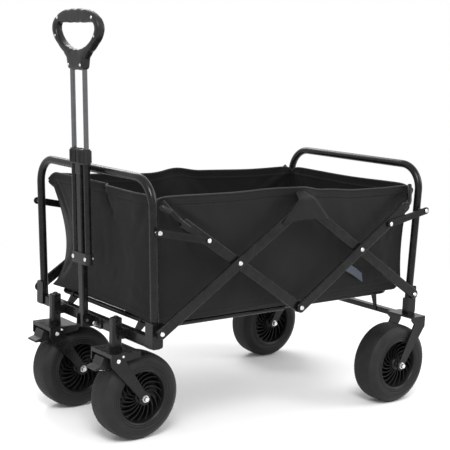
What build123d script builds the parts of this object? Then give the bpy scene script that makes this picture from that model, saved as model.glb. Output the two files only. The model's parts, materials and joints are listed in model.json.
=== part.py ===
from build123d import *
import os
from math import asin, atan2, cos, degrees, hypot, radians, sin

os.makedirs("parts", exist_ok=True)

# Folding camp wagon. Millimetres, +Z up, +X towards the rear, +Y towards the left.
# Origin: on the ground, at the middle of the wagon's length and width.

# ---- Driving dimensions ------------------------------------------------------------------
WHEEL_R = 100
TYRE_W = 75
RIM_R = 62
HALF_LENGTH = 394           # end frame to the middle of the wagon, opened
TRACK = 489.5               # leg to leg of an end hoop, centre to centre
PIVOT_Z = 272               # lower pivots of the side bars
HOOP_TOP_Z = 599            # centre of an end hoop's top tube
HOOP_LEAN = 2.6             # degrees that each end hoop leans outward
HOOP_R, HOOP_BORE, HOOP_BEND = 9.5, 8.0, 62
BAR_TILT = 33.2             # degrees, side bars of the opened wagon
FOLDED_TILT = 75            # degrees, side bars of the folded wagon
CROSS_X = 206               # end frame to the crossing of its two bars
LINK_BOLT_X = 118           # end frame to the rivet of the link on the upper bar
BAR_H, BAR_T, BAR_WALL = 25, 8, 1.6
PIN_R, PIN_GAP = 3.2, 0.05    # rivets and pivot pins, and their radial running clearance
HEAD_R, HEAD_T = 5.4, 2.4
GAP = 0.5                   # between neighbouring moving layers
PLATE = 3                   # bracket plate
FLOOR_R, FLOOR_HINGE_X = 6, 31.6
FLOOR_RAIL_Y = (211, 197)   # front and rear floor rails lie beside each other when folding
FABRIC_T = 3
FABRIC_TOP_Z, FABRIC_LOW_Z = 559, 276
SIDE_FABRIC_Y = 227.5
CASTER_X, CASTER_Y, TRAIL = -30, 136, 53.5
REAR_WHEEL_Y, REAR_AXLE_SET = 250, 64.5
PEDAL_REACH = 92            # front frame to the tip of a brake pedal
HANDLE_X, HANDLE_PIVOT_Z, HANDLE_LEAN = -30, 250, 2.4
HANDLE_TUBE_Y, OUTER_TUBE_R, INNER_TUBE_R = 26.5, 7.5, 5.7

# ---- Worked-out dimensions -----------------------------------------------------------------
LEG_Y = TRACK / 2
FRONT_X = -(2 * HALF_LENGTH - REAR_AXLE_SET + WHEEL_R - PEDAL_REACH) / 2
REAR_X = FRONT_X + 2 * HALF_LENGTH
TILT = radians(BAR_TILT)
LOWER_ARM = CROSS_X / cos(TILT)                    # lower pivot to crossing
UPPER_ARM = (HALF_LENGTH - CROSS_X) / cos(TILT)    # crossing to the middle pivots
CROSS_Z = PIVOT_Z + LOWER_ARM * sin(TILT)
MID_TOP_Z = CROSS_Z + UPPER_ARM * sin(TILT)
MID_LOW_Z = CROSS_Z - UPPER_ARM * sin(TILT)
LINK_ARM = (CROSS_X - LINK_BOLT_X) / cos(TILT)
LINK_BOLT_Z = CROSS_Z + LINK_ARM * sin(TILT)
INNER_Y = LEG_Y + HOOP_R + PLATE + GAP + BAR_T / 2     # first layer of bars outside the legs
OUTER_Y = INNER_Y + BAR_T + GAP                        # second layer
LINK_T = 4
LINK_W = 17


def lean_x(z):
    """How far outside its lower pivot an end hoop stands at this height."""
    return (z - PIVOT_Z) * sin(radians(HOOP_LEAN))


def link_leg_height():
    """The height on the leg that is equally far from the link rivet, opened and folded."""
    fold = radians(FOLDED_TILT)
    opened = (LINK_BOLT_X, LINK_BOLT_Z)
    folded = ((LOWER_ARM - LINK_ARM) * cos(fold), PIVOT_Z + (LOWER_ARM + LINK_ARM) * sin(fold))
    low, high = PIVOT_Z, MID_TOP_Z
    for _ in range(40):
        z = (low + high) / 2
        reach = [hypot(x + lean_x(z), height - z) for x, height in (opened, folded)]
        if reach[0] < reach[1]:
            low = z
        else:
            high = z
    return z


LINK_LEG_Z = link_leg_height()
FRAME_TOP_Z = 258.5         # top of the front crossbar, where the front legs stand
CROSSBAR_H, CROSSBAR_D = 25, 20
CROWN_LOW_Z, CROWN_T = 203, 9
CROWN_TOP_Z = CROWN_LOW_Z + CROWN_T
FORK_IN, FORK_T = TYRE_W / 2 + 2, 4
AXLE_R = 5


def station(end, inset):
    """X of a point this far inside an end frame; end is +1 at the front and -1 at the rear."""
    return FRONT_X + inset if end > 0 else REAR_X - inset


def side_plane(y):
    """An upright plane along the wagon: sketch x is +X, sketch y is +Z."""
    return Plane(origin=(0, y, 0), x_dir=(1, 0, 0), z_dir=(0, -1, 0))


def cross_plane(x, z=0, lean=0):
    """An upright plane across the wagon, leaned towards -X by lean degrees."""
    tip = radians(lean)
    return Plane(origin=(x, 0, z), x_dir=(0, 1, 0), z_dir=(cos(tip), 0, sin(tip)))


def finish(part, name):
    part.label = name
    export_step(part, f"parts/{name}.step")


# ---- End hoops -----------------------------------------------------------------------------
def make_hoop(name, end, foot_z):
    plane = cross_plane(station(end, 0), PIVOT_Z, end * HOOP_LEAN)
    top = (HOOP_TOP_Z - PIVOT_Z) / cos(radians(HOOP_LEAN))
    foot = foot_z - PIVOT_Z - HOOP_R
    with BuildPart() as hoop:
        with BuildLine(plane) as path:
            FilletPolyline(
                (-LEG_Y, foot), (-LEG_Y, top), (LEG_Y, top), (LEG_Y, foot), radius=HOOP_BEND
            )
        with BuildSketch(Plane(origin=path.line @ 0, z_dir=path.line % 0)):
            Circle(HOOP_R)
            Circle(HOOP_BORE, mode=Mode.SUBTRACT)
        sweep(path=path.line)
        split(bisect_by=Plane.XY.offset(foot_z), keep=Keep.TOP)
    finish(hoop.part, name)


# ---- Crossbars and corner brackets ------------------------------------------------------------
def floor_ear(end, y, base_x, base_z):
    """A plate that rises from a crossbar to carry the end tube of a floor half."""
    x = station(end, FLOOR_HINGE_X)
    tip = x + end * EAR_R
    with BuildPart() as ear:
        with BuildSketch(side_plane(y)):
            with BuildLine():
                Polyline((base_x, base_z), (base_x, base_z + EAR_FOOT), (x - end * 4, PIVOT_Z + EAR_R),
                         (tip, PIVOT_Z + EAR_R), (tip, PIVOT_Z - EAR_R), (base_x, base_z))
            make_face()
            with Locations((x, PIVOT_Z)):
                Circle(FLOOR_R + PIN_GAP, mode=Mode.SUBTRACT)
        extrude(amount=4, both=True)
    return ear.part


EAR_R, EAR_FOOT, EAR_Y = 8.5, 14, 150


def make_crossbar(name, end, inset, top_z, half_span, height, wall):
    """A rectangular tube across the wagon, with two ears for the floor frame."""
    x = station(end, inset)
    face = station(end, inset + CROSSBAR_D / 2)
    with BuildPart() as bar:
        with BuildSketch(Plane(origin=(x, -half_span, top_z - height / 2),
                               x_dir=(1, 0, 0), z_dir=(0, 1, 0))):
            RectangleRounded(CROSSBAR_D, height, 2.5)
            RectangleRounded(CROSSBAR_D - 2 * wall, height - 2 * wall, 1, mode=Mode.SUBTRACT)
        extrude(amount=2 * half_span)
        for y in (-EAR_Y, EAR_Y):
            add(floor_ear(end, y, face, top_z - height + 1))
    finish(bar.part, name)


def make_brackets(name, end, low_z, flange_x, post):
    """Side plates that carry the bars' lower pivots, with a flange or a post below the leg."""
    x = station(end, 0)
    plate_y = LEG_Y + HOOP_R + PLATE / 2
    plate_mid = (low_z + PIVOT_Z + 20) / 2
    plate_h = PIVOT_Z + 20 - low_z
    with BuildPart() as brackets:
        for side in (-1, 1):
            with BuildSketch(side_plane(side * plate_y)):
                with Locations((x, plate_mid)):
                    RectangleRounded(2 * flange_x, plate_h, 5)
            extrude(amount=PLATE / 2, both=True)
            if post:
                with BuildSketch(Plane.XY.offset(low_z)):
                    with Locations((x, side * LEG_Y)):
                        Rectangle(2 * HOOP_R + 2, 2 * HOOP_R)
                        Rectangle(2 * HOOP_BORE, 2 * HOOP_BORE, mode=Mode.SUBTRACT)
                extrude(amount=FRAME_TOP_Z - low_z)
            else:
                with BuildSketch(cross_plane(x - flange_x)):
                    with Locations((side * (LEG_Y - 2), plate_mid)):
                        RectangleRounded(2 * HOOP_R + 2 * PLATE + 4, plate_h, 5)
                extrude(amount=PLATE)
                with BuildSketch(side_plane(side * (plate_y + PLATE / 2))):
                    with Locations((x, PIVOT_Z)):
                        Circle(9)
                extrude(amount=-side * (BAR_T + GAP))
    finish(brackets.part, name)


def headed_pin(x, z, inner_y, outer_y, side):
    """A pin along Y from inner_y to outer_y on one side of the wagon, with a domed head outside."""
    with BuildPart() as pin:
        with BuildSketch(side_plane(side * inner_y)):
            with Locations((x, z)):
                Circle(PIN_R)
        extrude(amount=-side * (outer_y - inner_y))
        with BuildSketch(side_plane(side * outer_y)):
            with Locations((x, z)):
                Circle(HEAD_R)
        extrude(amount=-side * HEAD_T, taper=30)
    return pin.part


# ---- Side bars and links ---------------------------------------------------------------------
def make_bar(name, side, y, ends, holes, tight, finger_end=None):
    """A flat-oval tube between two points (x, z); tight holes hold the bar's own rivets."""
    (x0, z0), (x1, z1) = ends
    length = hypot(x1 - x0, z1 - z0)
    turn = degrees(atan2(z1 - z0, x1 - x0))
    middle = ((x0 + x1) / 2, (z0 + z1) / 2)
    with BuildPart() as bar:
        with BuildSketch(side_plane(side * y)):
            with Locations(middle):
                SlotCenterToCenter(length, BAR_H, rotation=turn)
        extrude(amount=BAR_T / 2, both=True)
        fillet(bar.edges().filter_by(lambda edge: edge.length > BAR_H * 2), BAR_T / 2 - 0.8)
        with BuildSketch(side_plane(side * y)):
            with Locations(middle):
                Rectangle(length + 2 * BAR_H, BAR_H - 4 * BAR_WALL, rotation=turn)
        extrude(amount=BAR_T / 2 - BAR_WALL, both=True, mode=Mode.SUBTRACT)
        with BuildSketch(side_plane(side * y)):
            with Locations(*holes):
                Circle(PIN_R + PIN_GAP)
            with Locations(*tight):
                Circle(PIN_R)
        extrude(amount=BAR_T, both=True, mode=Mode.SUBTRACT)
        if finger_end:
            add(finger(side, y, ends[1], turn, finger_end))
    finish(bar.part, name)


def finger(side, y, root, turn, tip):
    """The free end of an upper bar: a bent rod that turns up and inward, behind the leg."""
    along = Vector(cos(radians(turn)), 0, sin(radians(turn)))
    start = Vector(root[0], side * y, root[1])
    with BuildPart() as rod:
        with BuildLine() as path:
            FilletPolyline(start - along * 14, start + along * 16,
                           Vector(tip[0], side * tip[1], tip[2]), radius=26)
        with BuildSketch(Plane(origin=path.line @ 0, z_dir=path.line % 0)):
            Circle(FINGER_R)
        sweep(path=path.line)
    return rod.part


FINGER_R = 5.5
FINGER_TIP = (15, LEG_Y - 6, FABRIC_TOP_Z - 8)     # inset, y and z of the free end
FINGER_ROOT = 176                                  # crossing to the end of the flat tube


def make_side_bars(end, side, word, hand):
    """The lower and the upper bar of one end frame, on one side."""
    lower_y, upper_y = (OUTER_Y, INNER_Y) if end > 0 else (INNER_Y, OUTER_Y)
    cross = (station(end, CROSS_X), CROSS_Z)
    foot = (station(end, 0), PIVOT_Z)
    top = (station(end, HALF_LENGTH), MID_TOP_Z)
    low = (station(end, HALF_LENGTH), MID_LOW_Z)
    root = (station(end, CROSS_X - FINGER_ROOT * cos(TILT)), CROSS_Z + FINGER_ROOT * sin(TILT))
    tip = (station(end, FINGER_TIP[0]), FINGER_TIP[1], FINGER_TIP[2])
    lower_tight = [cross, top] if end > 0 else [cross]
    lower_loose = [foot] if end > 0 else [foot, top]
    upper_tight = [low] if end > 0 else []
    upper_loose = [cross] if end > 0 else [cross, low]
    make_bar(f"{word}_lower_bar_{hand}", side, lower_y, (foot, top), lower_loose, lower_tight)
    make_bar(f"{word}_upper_bar_{hand}", side, upper_y, (low, root), upper_loose, upper_tight, tip)


def make_link(name, end, side, y):
    """The short channelled link from a leg to the upper bar, with its rivet head on the bar."""
    leg = (station(end, -lean_x(LINK_LEG_Z)), LINK_LEG_Z)
    bolt = (station(end, LINK_BOLT_X), LINK_BOLT_Z)
    length = hypot(bolt[0] - leg[0], bolt[1] - leg[1])
    turn = degrees(atan2(bolt[1] - leg[1], bolt[0] - leg[0]))
    middle = ((leg[0] + bolt[0]) / 2, (leg[1] + bolt[1]) / 2)
    outside = side_plane(side * (y + LINK_T / 2))
    with BuildPart() as link:
        with BuildSketch(side_plane(side * y)):
            with Locations(middle):
                SlotCenterToCenter(length, LINK_W, rotation=turn)
            with Locations(leg):
                Circle(PIN_R + PIN_GAP, mode=Mode.SUBTRACT)
        extrude(amount=LINK_T / 2, both=True)
        with BuildSketch(outside):
            with Locations(middle):
                SlotOverall(length - 3 * PIN_R, LINK_W / 3, rotation=turn)
        extrude(amount=side * LINK_T / 3, mode=Mode.SUBTRACT)
        with BuildSketch(outside):
            with Locations(bolt):
                Circle(HEAD_R)
        extrude(amount=-side * HEAD_T, taper=30)
    finish(link.part, name)


# ---- Floor -------------------------------------------------------------------------------------
def make_floor_frame(name, end, rail_y):
    """Half of the floor frame: a bent U of round tube, open towards the middle."""
    inner, outer = station(end, FLOOR_HINGE_X), station(end, HALF_LENGTH - 2)
    with BuildPart() as frame:
        with BuildLine(Plane.XY.offset(PIVOT_Z)) as path:
            FilletPolyline((outer, -rail_y), (inner, -rail_y), (inner, rail_y), (outer, rail_y),
                           radius=24)
        with BuildSketch(Plane(origin=path.line @ 0, z_dir=path.line % 0)):
            Circle(FLOOR_R)
            Circle(FLOOR_R - 1.2, mode=Mode.SUBTRACT)
        sweep(path=path.line)
    finish(frame.part, name)


def make_floor_board(name, end):
    """The padded board that lies on one half of the floor frame."""
    near, far = station(end, FLOOR_HINGE_X + EAR_R + 1), station(end, HALF_LENGTH - 1)
    with BuildPart() as board:
        with BuildSketch(Plane.XY.offset(PIVOT_Z + FLOOR_R + 0.2)):
            with Locations(((near + far) / 2, 0)):
                RectangleRounded(abs(far - near), 2 * (SIDE_FABRIC_Y - 9), 8)
        extrude(amount=BOARD_T)
        fillet(board.faces().sort_by(Axis.Z)[-1].edges(), 2)
    finish(board.part, name)


BOARD_T = 7


# ---- Fabric basket -----------------------------------------------------------------------------
SAG = 14                    # dip of a fabric edge between its supports
EDGE_BOW = 26               # how far an upright fabric edge bows inward
END_FABRIC_INSET = 15
POCKET_HALF = 66


def make_side_panel(name, side):
    ends = [station(end, END_FABRIC_INSET) for end in (1, -1)]
    mid_z = (FABRIC_TOP_Z + FABRIC_LOW_Z) / 2
    crest = FABRIC_TOP_Z + 4
    middle = (ends[0] + ends[1]) / 2
    quarter = (ends[1] - ends[0]) / 4
    with BuildPart() as panel:
        with BuildSketch(side_plane(side * SIDE_FABRIC_Y)):
            with BuildLine():
                Line((ends[0], FABRIC_LOW_Z), (ends[1], FABRIC_LOW_Z))
                ThreePointArc((ends[1], FABRIC_LOW_Z), (ends[1] - EDGE_BOW, mid_z), (ends[1], FABRIC_TOP_Z))
                ThreePointArc((ends[1], FABRIC_TOP_Z), (ends[1] - quarter, FABRIC_TOP_Z - SAG), (middle, crest))
                ThreePointArc((middle, crest), (ends[0] + quarter, FABRIC_TOP_Z - SAG), (ends[0], FABRIC_TOP_Z))
                ThreePointArc((ends[0], FABRIC_TOP_Z), (ends[0] + EDGE_BOW, mid_z), (ends[0], FABRIC_LOW_Z))
            make_face()
        extrude(amount=FABRIC_T / 2, both=True)
    finish(panel.part, name)


def make_end_panel(name, end):
    half = SIDE_FABRIC_Y - FABRIC_T / 2 - 0.5
    mid_z = (FABRIC_TOP_Z + FABRIC_LOW_Z) / 2 - PIVOT_Z
    low, high = FABRIC_LOW_Z - PIVOT_Z, FABRIC_TOP_Z - PIVOT_Z
    with BuildPart() as panel:
        with BuildSketch(cross_plane(station(end, END_FABRIC_INSET), PIVOT_Z, end * HOOP_LEAN)):
            with BuildLine():
                Line((-half, low), (half, low))
                ThreePointArc((half, low), (half - EDGE_BOW, mid_z), (half, high))
                ThreePointArc((half, high), (0, high - SAG), (-half, high))
                ThreePointArc((-half, high), (-half + EDGE_BOW, mid_z), (-half, low))
            make_face()
        extrude(amount=FABRIC_T / 2, both=True)
    finish(panel.part, name)


def make_bar_pocket(name, side):
    """The three-cornered fabric patch over the middle top pivot."""
    y = OUTER_Y + BAR_T / 2 + HEAD_T + 2 * GAP + FABRIC_T / 2
    x = station(1, HALF_LENGTH)
    top, low = FABRIC_TOP_Z + 1, FABRIC_TOP_Z - 71
    with BuildPart() as pocket:
        with BuildSketch(side_plane(side * y)):
            with BuildLine():
                Polyline((x - 10, top), (x + 10, top), (x + POCKET_HALF, low + 22),
                         (x + POCKET_HALF, low), (x - POCKET_HALF, low), (x - POCKET_HALF, low + 22),
                         (x - 10, top))
            make_face()
        extrude(amount=FABRIC_T / 2, both=True)
    finish(pocket.part, name)


# ---- Front casters -----------------------------------------------------------------------------
STEM_R, HOUSING_R = 8, 12
HOUSING_TOP_Z = 284


def caster_housing(y):
    """An upright sleeve for a caster stem, on a block in front of the crossbar."""
    x = station(1, CASTER_X)
    with BuildPart() as housing:
        with BuildSketch(Plane.XY.offset(CROWN_TOP_Z + 6)):
            with Locations((x, y)):
                RectangleRounded(2 * HOUSING_R, 2 * HOUSING_R - 2, 6)
        extrude(amount=HOUSING_TOP_Z - CROWN_TOP_Z - 6)
        fillet(housing.faces().sort_by(Axis.Z)[-1].edges(), 4)
        with BuildSketch(Plane.YZ.offset(x)):
            with Locations((y, FRAME_TOP_Z - CROSSBAR_H / 2)):
                RectangleRounded(30, CROSSBAR_H - 4, 3)
        extrude(amount=-CASTER_X - CROSSBAR_D / 2)
        with BuildSketch(side_plane(y - HOUSING_R + 1)):
            with Locations((x, HOUSING_TOP_Z - 12)):
                Circle(7)
        extrude(amount=4)
        with BuildSketch(Plane.XY.offset(CROWN_TOP_Z)):
            with Locations((x, y)):
                Circle(STEM_R + PIN_GAP)
        extrude(amount=HOUSING_TOP_Z - CROWN_TOP_Z - 8, mode=Mode.SUBTRACT)
    return housing.part


def make_caster_housings():
    with BuildPart() as housings:
        for y in (-CASTER_Y, CASTER_Y):
            add(caster_housing(y))
    finish(housings.part, "caster_housings")


ARM_ROOT_W, ARM_HALF_W = 38, 11


def wheel_fork(y, axle_x, top_z, crown_x, crown_t, boss_r):
    """An inverted U of plate over a wheel: a crown and two arms that slant to the axle."""
    low, high = crown_x
    way = 1 if axle_x > (low + high) / 2 else -1
    root, far = (low, high) if way > 0 else (high, low)
    with BuildPart() as fork:
        with BuildSketch(Plane.XY.offset(top_z - crown_t)):
            with Locations(((low + high) / 2, y)):
                Rectangle(high - low, 2 * (FORK_IN + FORK_T))
        extrude(amount=crown_t)
        for side in (-1, 1):
            with BuildSketch(side_plane(y + side * (FORK_IN + FORK_T / 2))):
                with BuildLine():
                    Polyline((root, top_z), (far, top_z), (far, top_z - crown_t - 5),
                             (root + way * ARM_ROOT_W, top_z - ARM_ROOT_W / 2),
                             (axle_x + way * ARM_HALF_W, WHEEL_R), (axle_x - way * ARM_HALF_W, WHEEL_R),
                             (root, top_z - ARM_ROOT_W * 0.7), (root, top_z))
                make_face()
                with Locations((axle_x, WHEEL_R)):
                    Circle(boss_r)
                    Circle(AXLE_R, mode=Mode.SUBTRACT)
            extrude(amount=FORK_T / 2, both=True)
    return fork.part


BRAKE_PIVOT = (-50, 191)    # inset of the front frame and height
BRAKE_PIN_R = 3


def make_caster_fork(name, side):
    x, y = station(1, CASTER_X), side * CASTER_Y
    pin_x = station(1, BRAKE_PIVOT[0])
    with BuildPart() as fork:
        add(wheel_fork(y, x + TRAIL, CROWN_TOP_Z, (x - 36, x + 40), CROWN_T, 15))
        with BuildSketch(Plane.XY.offset(CROWN_TOP_Z)):
            with Locations((x, y)):
                Circle(STEM_R + 6)
        extrude(amount=5)
        with BuildSketch(Plane.XY.offset(CROWN_TOP_Z)):
            with Locations((x, y)):
                Circle(STEM_R)
        extrude(amount=HOUSING_TOP_Z - CROWN_TOP_Z - 10)
        for ear in (-1, 1):
            with BuildSketch(side_plane(y + ear * 21)):
                with Locations((pin_x, BRAKE_PIVOT[1] + 6)):
                    RectangleRounded(12, 26, 4)
            extrude(amount=PLATE / 2, both=True)
        with BuildSketch(side_plane(y)):
            with Locations((pin_x, BRAKE_PIVOT[1])):
                Circle(BRAKE_PIN_R)
        extrude(amount=25, both=True)
    finish(fork.part, name)


def make_brake_pedal(name, side):
    """A foot pedal with a block over the pin and a shoe in front of the tyre."""
    y = side * CASTER_Y
    pin_x, pin_z = station(1, BRAKE_PIVOT[0]), BRAKE_PIVOT[1]
    tip_x = station(1, -PEDAL_REACH)
    with BuildPart() as pedal:
        with BuildSketch(side_plane(y)):
            with BuildLine():
                Polyline((pin_x + 3, pin_z + 7), (pin_x - 20, pin_z + 10), (pin_x - 27, pin_z - 8),
                         (tip_x, pin_z - 12), (tip_x, pin_z - 17), (pin_x - 12, pin_z - 14),
                         (pin_x + 2, pin_z - 17), (pin_x + 6, pin_z - 4), (pin_x + 3, pin_z + 7))
            make_face()
            with Locations((pin_x, pin_z)):
                Circle(BRAKE_PIN_R + PIN_GAP, mode=Mode.SUBTRACT)
        extrude(amount=18.5, both=True)
        fillet(pedal.edges().filter_by(Axis.Y).group_by(Axis.X)[0], 2)
    finish(pedal.part, name)


# ---- Axles and wheels -----------------------------------------------------------------------
AXLE_HEAD_R, AXLE_HEAD_T = 8, 9


def make_axles(name, x, centres):
    """Axle bolts with a domed head on both ends, one for each wheel."""
    reach = FORK_IN + FORK_T
    with BuildPart() as axles:
        for y in centres:
            with BuildSketch(side_plane(y)):
                with Locations((x, WHEEL_R)):
                    Circle(AXLE_R)
            extrude(amount=reach, both=True)
            for side in (-1, 1):
                with BuildSketch(side_plane(y + side * reach)):
                    with Locations((x, WHEEL_R)):
                        Circle(AXLE_HEAD_R)
                extrude(amount=-side * AXLE_HEAD_T / 3)
                with BuildSketch(side_plane(y + side * (reach + AXLE_HEAD_T / 3))):
                    with Locations((x, WHEEL_R)):
                        Circle(AXLE_HEAD_R - 1.5)
                extrude(amount=-side * AXLE_HEAD_T * 2 / 3, taper=12)
    finish(axles.part, name)


def make_wheel(word, x, y):
    axle = Axis((x, y, WHEEL_R), (0, 1, 0))
    section = Plane(origin=(x, y, WHEEL_R), x_dir=(0, 1, 0), z_dir=(1, 0, 0))
    bead, wide, shoulder = 30, TYRE_W / 2, 31
    with BuildPart() as tyre:
        with BuildSketch(section):
            with BuildLine():
                Line((-bead, RIM_R), (bead, RIM_R))
                ThreePointArc((bead, RIM_R), (wide, WHEEL_R - 21), (shoulder, WHEEL_R - 5))
                ThreePointArc((shoulder, WHEEL_R - 5), (0, WHEEL_R), (-shoulder, WHEEL_R - 5))
                ThreePointArc((-shoulder, WHEEL_R - 5), (-wide, WHEEL_R - 21), (-bead, RIM_R))
            make_face()
        revolve(axis=axle)
    finish(tyre.part, f"{word}_tyre")
    with BuildPart() as hub:
        with BuildSketch(section):
            with BuildLine():
                Polyline((-bead, RIM_R - 0.1), (bead, RIM_R - 0.1), (bead, RIM_R - 6), (4, RIM_R - 10),
                         (4, HUB_BOSS_R), (HUB_HALF_W, HUB_BOSS_R), (HUB_HALF_W, AXLE_R + PIN_GAP),
                         (-HUB_HALF_W, AXLE_R + PIN_GAP), (-HUB_HALF_W, HUB_BOSS_R), (-4, HUB_BOSS_R),
                         (-4, RIM_R - 10), (-bead, RIM_R - 6), (-bead, RIM_R - 0.1))
            make_face()
        revolve(axis=axle)
        with BuildSketch(Plane(origin=(x, y, WHEEL_R), x_dir=(1, 0, 0), z_dir=(0, -1, 0))):
            with PolarLocations((HUB_BOSS_R + RIM_R) / 2 - 4, VANES):
                Rectangle(RIM_R - HUB_BOSS_R - 2, 3, rotation=20)
        extrude(amount=bead - 8, both=True)
    finish(hub.part, f"{word}_hub")


HUB_BOSS_R, HUB_HALF_W, VANES = 17, TYRE_W / 2 - 1, 12


# ---- Rear forks ---------------------------------------------------------------------------------
REAR_FORK_TOP_Z = 220
REAR_FORK_X = (-14, 34)     # inset of the rear frame: rear and front edge of a fork's crown


def make_rear_forks():
    axle_x = station(-1, REAR_AXLE_SET)
    crown = tuple(sorted(station(-1, inset) for inset in REAR_FORK_X))
    with BuildPart() as forks:
        for side in (-1, 1):
            add(wheel_fork(side * REAR_WHEEL_Y, axle_x, REAR_FORK_TOP_Z, crown, FORK_T, 13))
    finish(forks.part, "rear_forks")


# ---- Handle -------------------------------------------------------------------------------------
HANDLE_PLANE = cross_plane(station(1, HANDLE_X), HANDLE_PIVOT_Z, HANDLE_LEAN)
POST_W, POST_D = 20, 15
POST_TOP, OUTER_LOW, OUTER_TOP = 384, 134, 390      # heights above the handle's pivot
INNER_LOW, INNER_TOP = 330, 580
COLLAR_W, COLLAR_D, COLLAR_H = 70, 19, 34
GRIP_LOW, GRIP_TOP, GRIP_T = 568, 700, 26
GRIP_HALF, NECK_HALF, GRIP_BAR = 98, 36, 27         # half widths of the D and its neck, bar height


def handle_section(height):
    """A plane across the handle at this height above its pivot: sketch x is forward, y is right."""
    origin = HANDLE_PLANE.from_local_coords(Vector(0, height, 0))
    return Plane(origin=origin, x_dir=(0, 1, 0), z_dir=HANDLE_PLANE.y_dir)


def make_handle():
    tubes = [(-HANDLE_TUBE_Y, 0), (HANDLE_TUBE_Y, 0)]
    with BuildPart() as post:
        with BuildSketch(handle_section(-10)):
            RectangleRounded(POST_W, POST_D, 3)
            RectangleRounded(POST_W - 3, POST_D - 3, 1.5, mode=Mode.SUBTRACT)
        extrude(amount=POST_TOP + 10)
        with BuildSketch(side_plane(0)):
            with Locations((station(1, HANDLE_X), HANDLE_PIVOT_Z)):
                Circle(PIN_R + 3)
        extrude(amount=POST_W / 2, both=True)
        with BuildSketch(side_plane(0)):
            with Locations((station(1, HANDLE_X), HANDLE_PIVOT_Z)):
                Circle(PIN_R + PIN_GAP)
        extrude(amount=POST_W, both=True, mode=Mode.SUBTRACT)
    finish(post.part, "handle_post")

    with BuildPart() as outer:
        with BuildSketch(handle_section(OUTER_LOW)):
            with Locations(*tubes):
                Circle(OUTER_TUBE_R)
                Circle(INNER_TUBE_R + PIN_GAP, mode=Mode.SUBTRACT)
        extrude(amount=OUTER_TOP - OUTER_LOW)
    finish(outer.part, "handle_outer_tubes")

    for name, height, tall in (("handle_collar", OUTER_TOP - COLLAR_H + 4, COLLAR_H),
                               ("handle_lower_bracket", OUTER_LOW - 2, 26)):
        with BuildPart() as block:
            with BuildSketch(handle_section(height)):
                RectangleRounded(COLLAR_W, COLLAR_D, 8.5)
                Rectangle(POST_W, POST_D, mode=Mode.SUBTRACT)
                with Locations(*tubes):
                    Circle(OUTER_TUBE_R, mode=Mode.SUBTRACT)
            extrude(amount=tall)
        finish(block.part, name)

    with BuildPart() as inner:
        with BuildSketch(handle_section(INNER_LOW)):
            with Locations(*tubes):
                Circle(INNER_TUBE_R)
                Circle(INNER_TUBE_R - 1.1, mode=Mode.SUBTRACT)
        extrude(amount=INNER_TOP - INNER_LOW)
    finish(inner.part, "handle_inner_tubes")

    with BuildPart() as grip:
        with BuildSketch(HANDLE_PLANE):
            with BuildLine():
                FilletPolyline((-NECK_HALF, GRIP_LOW), (-NECK_HALF, GRIP_LOW + 26),
                               (-GRIP_HALF - 9, GRIP_TOP - 54), (-GRIP_HALF + 26, GRIP_TOP),
                               (GRIP_HALF - 26, GRIP_TOP), (GRIP_HALF + 9, GRIP_TOP - 54),
                               (NECK_HALF, GRIP_LOW + 26), (NECK_HALF, GRIP_LOW), radius=28)
                Line((-NECK_HALF, GRIP_LOW), (NECK_HALF, GRIP_LOW))
            make_face()
            with BuildLine():
                FilletPolyline((-NECK_HALF + 4, GRIP_LOW + 41), (-GRIP_HALF + 13, GRIP_TOP - 52),
                               (-GRIP_HALF + 30, GRIP_TOP - GRIP_BAR),
                               (GRIP_HALF - 30, GRIP_TOP - GRIP_BAR),
                               (GRIP_HALF - 13, GRIP_TOP - 52), (NECK_HALF - 4, GRIP_LOW + 41),
                               close=True, radius=12)
            make_face(mode=Mode.SUBTRACT)
        extrude(amount=GRIP_T / 2, both=True)
        fillet(grip.edges().filter_by(lambda edge: edge.length > 5), 6)
        with BuildSketch(handle_section(GRIP_LOW)):
            with Locations(*tubes):
                Circle(INNER_TUBE_R)
        extrude(amount=INNER_TOP - GRIP_LOW, mode=Mode.SUBTRACT)
    finish(grip.part, "handle_grip")


def make_handle_clevis():
    """Two ears on the crossbar that carry the foot of the handle post."""
    x = station(1, HANDLE_X)
    face = station(1, -CROSSBAR_D / 2)
    with BuildPart() as clevis:
        for side in (-1, 1):
            with BuildSketch(side_plane(side * (POST_W / 2 + GAP + PLATE / 2))):
                with BuildLine():
                    Polyline((face, FRAME_TOP_Z), (x - 12, FRAME_TOP_Z + 4), (x - 12, FRAME_TOP_Z - 22),
                             (face, FRAME_TOP_Z - CROSSBAR_H), (face, FRAME_TOP_Z))
                make_face()
            extrude(amount=PLATE / 2, both=True)
        with BuildSketch(cross_plane(face - PLATE)):
            with Locations((-12, FRAME_TOP_Z - CROSSBAR_H / 2)):
                RectangleRounded(70, CROSSBAR_H, 3)
        extrude(amount=PLATE)
    finish(clevis.part, "handle_clevis")


# ---- Rivets, pins and bolts --------------------------------------------------------------------
def make_frame_pins(name, end, bar_y, link_y):
    """Lower bar pivots and link bolts of one end frame, and at the front the handle's pin."""
    with BuildPart() as pins:
        for side in (-1, 1):
            add(headed_pin(station(end, 0), PIVOT_Z, LEG_Y + HOOP_R,
                           bar_y + BAR_T / 2 + GAP, side))
            add(headed_pin(station(end, -lean_x(LINK_LEG_Z)), LINK_LEG_Z, LEG_Y + HOOP_BORE,
                           link_y + LINK_T / 2 + GAP, side))
        if end > 0:
            with BuildSketch(side_plane(0)):
                with Locations((station(1, HANDLE_X), HANDLE_PIVOT_Z)):
                    Circle(PIN_R)
            extrude(amount=POST_W / 2 + GAP + PLATE + 2, both=True)
    finish(pins.part, name)


def make_rivets(name, side, places, inner_y, outer_y):
    with BuildPart() as rivets:
        for x, z in places:
            add(headed_pin(x, z, inner_y, outer_y, side))
    finish(rivets.part, name)


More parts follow.
